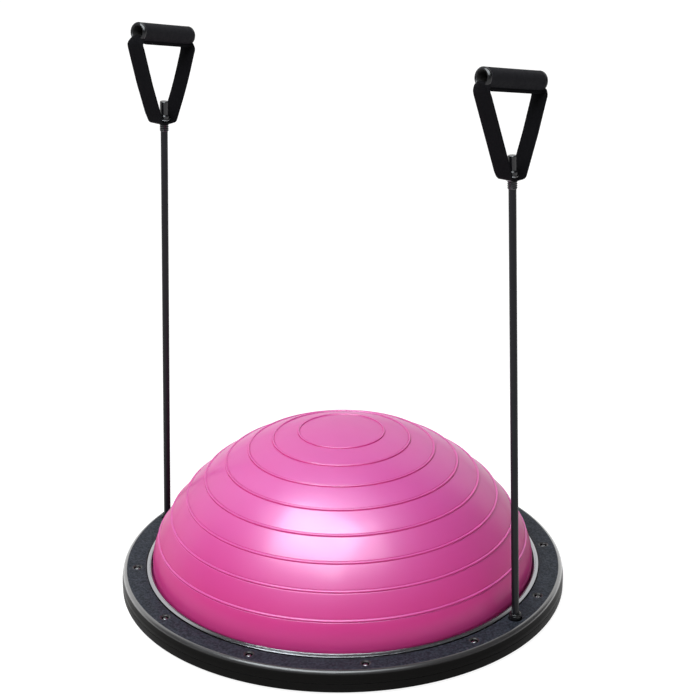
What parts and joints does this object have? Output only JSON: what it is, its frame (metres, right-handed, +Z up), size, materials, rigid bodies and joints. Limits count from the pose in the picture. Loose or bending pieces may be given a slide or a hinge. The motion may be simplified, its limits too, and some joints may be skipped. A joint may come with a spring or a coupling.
{
  "type": "balance dome trainer",
  "caption": "Round platform with an inflated half-ball dome clamped under a screwed ring, and elastic tubes that end in webbing handles with foam grips.",
  "frame": {"origin": "on the floor, under the middle of the platform", "axes": "+Z up from the floor; -X towards the left tube's anchor, so +X points near the right tube's anchor"},
  "size_m": [0.6379, 0.638, 0.7972],
  "materials": {
    "platform_plastic": "moulded, slightly glossy on its outer wall",
    "ring_plastic": "fine texture on top, polished shoulder and wall",
    "trim_plastic": "polished",
    "screw_steel": "zinc plated",
    "foot_rubber": "matte",
    "dome_skin": "glossy flexible vinyl with fine grip rings",
    "floor_skin": "smooth flexible vinyl",
    "valve_plastic": "smooth",
    "collar_plastic": "smooth",
    "bush_plastic": "smooth",
    "stopper_plastic": "smooth",
    "tube_rubber": "satin latex",
    "ferrule_plastic": "smooth",
    "end_plug_plastic": "smooth",
    "grommet_metal": "satin",
    "webbing": "ribbed woven nylon",
    "foam": "closed-cell foam",
    "core_plastic": "smooth",
    "cap_plastic": "smooth"
  },
  "bodies": {
    "base": {"platform": "platform_plastic", "clamp_ring": "ring_plastic", "inner_trim_ring": "trim_plastic", "ring_screws": "screw_steel", "rubber_feet": "foot_rubber", "dome_floor": "floor_skin", "valve_seat": "valve_plastic", "anchor_collar_left": "collar_plastic", "anchor_bush_left": "bush_plastic", "tube_stopper_left": "stopper_plastic", "anchor_collar_right": "collar_plastic", "anchor_bush_right": "bush_plastic", "tube_stopper_right": "stopper_plastic"},
    "dome": {"dome_shell": "dome_skin"},
    "valve": {"valve_plug": "valve_plastic"},
    "left_tube": {"tube_left": "tube_rubber"},
    "left_tube_end": {"ferrule_left": "ferrule_plastic", "end_plug_left": "end_plug_plastic"},
    "left_handle": {"strap_left": "webbing", "grommet_left": "grommet_metal"},
    "left_grip": {"foam_grip_left": "foam", "grip_core_left": "core_plastic", "grip_caps_left": "cap_plastic"},
    "right_tube": {"tube_right": "tube_rubber"},
    "right_tube_end": {"ferrule_right": "ferrule_plastic", "end_plug_right": "end_plug_plastic"},
    "right_handle": {"strap_right": "webbing", "grommet_right": "grommet_metal"},
    "right_grip": {"foam_grip_right": "foam", "grip_core_right": "core_plastic", "grip_caps_right": "cap_plastic"}
  },
  "joints": [
    {"name": "dome_press", "type": "slide", "parent": "base", "child": "dome", "axis": [0, 0, -1], "range_m": [0, 0.06], "stiffness_N_per_m": 15000, "deforming": ["dome_shell"]},
    {"name": "valve_plug_pull", "type": "slide", "parent": "base", "child": "valve", "axis": [0, 0, -1], "range_m": [0, 0.014]},
    {"name": "left_tube_tilt", "type": "hinge", "parent": "base", "child": "left_tube", "pos_m": [-0.29691, 0.00726, 0.0429], "axis": [-0.0244, -0.9997, 0], "range_deg": [-8, 60]},
    {"name": "left_tube_stretch", "type": "slide", "parent": "left_tube", "child": "left_tube_end", "axis": [0.0453, -0.0011, 0.999], "range_m": [0, 0.5], "stiffness_N_per_m": 120, "deforming": ["tube_left"]},
    {"name": "left_handle_swivel", "type": "hinge", "parent": "left_tube_end", "child": "left_handle", "pos_m": [-0.26932, 0.00658, 0.65077], "axis": [0.0453, -0.0011, 0.999], "continuous": true},
    {"name": "left_grip_roll", "type": "hinge", "parent": "left_handle", "child": "left_grip", "pos_m": [-0.26374, 0.00645, 0.77365], "axis": [0.1617, 0.9669, -0.1973], "continuous": true},
    {"name": "right_tube_tilt", "type": "hinge", "parent": "base", "child": "right_tube", "pos_m": [0.28818, -0.07185, 0.0429], "axis": [0.2419, 0.9703, 0], "range_deg": [-8, 60]},
    {"name": "right_tube_stretch", "type": "slide", "parent": "right_tube", "child": "right_tube_end", "axis": [-0.0389, 0.0097, 0.9992], "range_m": [0, 0.5], "stiffness_N_per_m": 120, "deforming": ["tube_right"]},
    {"name": "right_handle_swivel", "type": "hinge", "parent": "right_tube_end", "child": "right_handle", "pos_m": [0.26487, -0.06604, 0.64092], "axis": [-0.0389, 0.0097, 0.9992], "continuous": true},
    {"name": "right_grip_roll", "type": "hinge", "parent": "right_handle", "child": "right_grip", "pos_m": [0.26008, -0.06485, 0.76382], "axis": [0.375, 0.9083, -0.1852], "continuous": true}
  ]
}
